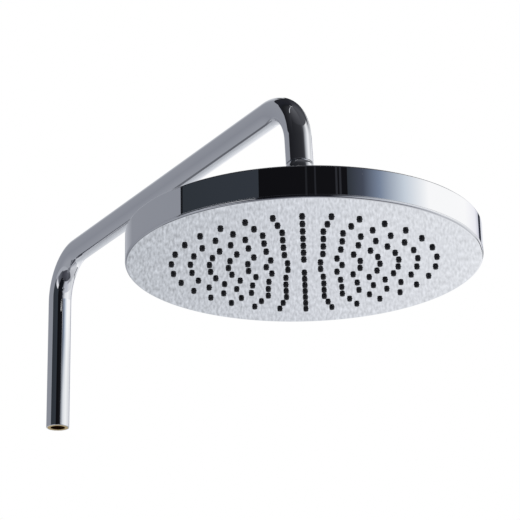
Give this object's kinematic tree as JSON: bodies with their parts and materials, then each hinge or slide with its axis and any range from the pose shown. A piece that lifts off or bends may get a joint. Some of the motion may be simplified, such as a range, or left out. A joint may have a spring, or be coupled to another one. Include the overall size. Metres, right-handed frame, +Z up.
{
  "type": "overhead shower column end",
  "caption": "Bent chrome riser and arm of a rigid shower column, ending in a ball joint that carries a wide round rain head with soft black nozzles.",
  "frame": {"origin": "centre of the riser's foot, on the riser's axis", "axes": "+Z up along the riser, +X along the level arm from the riser to the rain head, +Y to the left of it"},
  "size_m": [0.642, 0.302, 0.194],
  "materials": {
    "chrome_plated_brass": "polished",
    "bare_brass": "satin",
    "chrome_plated_abs": "polished",
    "black_silicone": "matte",
    "black_epdm_rubber": "matte",
    "white_acetal": "satin",
    "grey_abs": "satin",
    "stainless_steel": "satin"
  },
  "bodies": {
    "arm": {"riser_arm_tube": "chrome_plated_brass", "riser_inlet_insert": "bare_brass", "riser_inlet_washer": "black_epdm_rubber", "outlet_nipple": "chrome_plated_brass", "union_nut": "chrome_plated_brass", "filter_washer": "black_epdm_rubber", "filter_screen": "stainless_steel", "flow_regulator": "white_acetal", "regulator_ring": "black_epdm_rubber"},
    "ball_stud": {"ball_stud": "chrome_plated_brass", "stud_retaining_ring": "stainless_steel"},
    "ball_seal": {"ball_seal": "black_epdm_rubber"},
    "head": {"upper_seat_ring": "white_acetal", "socket_collar": "chrome_plated_brass", "socket_bush": "chrome_plated_brass", "socket_gasket": "black_epdm_rubber", "socket_locknut": "bare_brass", "head_shell": "chrome_plated_abs", "chamber_seal": "black_epdm_rubber", "water_plate": "grey_abs", "plate_screws": "stainless_steel", "flow_spreader": "white_acetal", "spreader_screws": "stainless_steel", "nozzle_mat": "black_silicone", "face_plate": "chrome_plated_abs"}
  },
  "joints": [
    {"name": "ball_swivel", "type": "hinge", "parent": "arm", "child": "ball_stud", "pos_m": [0.479, 0, 0.073], "axis": [-0.061, 0, 0.9981], "continuous": true},
    {"name": "head_tilt", "type": "hinge", "parent": "ball_stud", "child": "ball_seal", "pos_m": [0.479, 0, 0.073], "axis": [0, 1, 0], "range_deg": [-18.5, 11.5]},
    {"name": "head_spin", "type": "hinge", "parent": "ball_seal", "child": "head", "pos_m": [0.479, 0, 0.073], "axis": [0, 0, 1], "continuous": true}
  ]
}
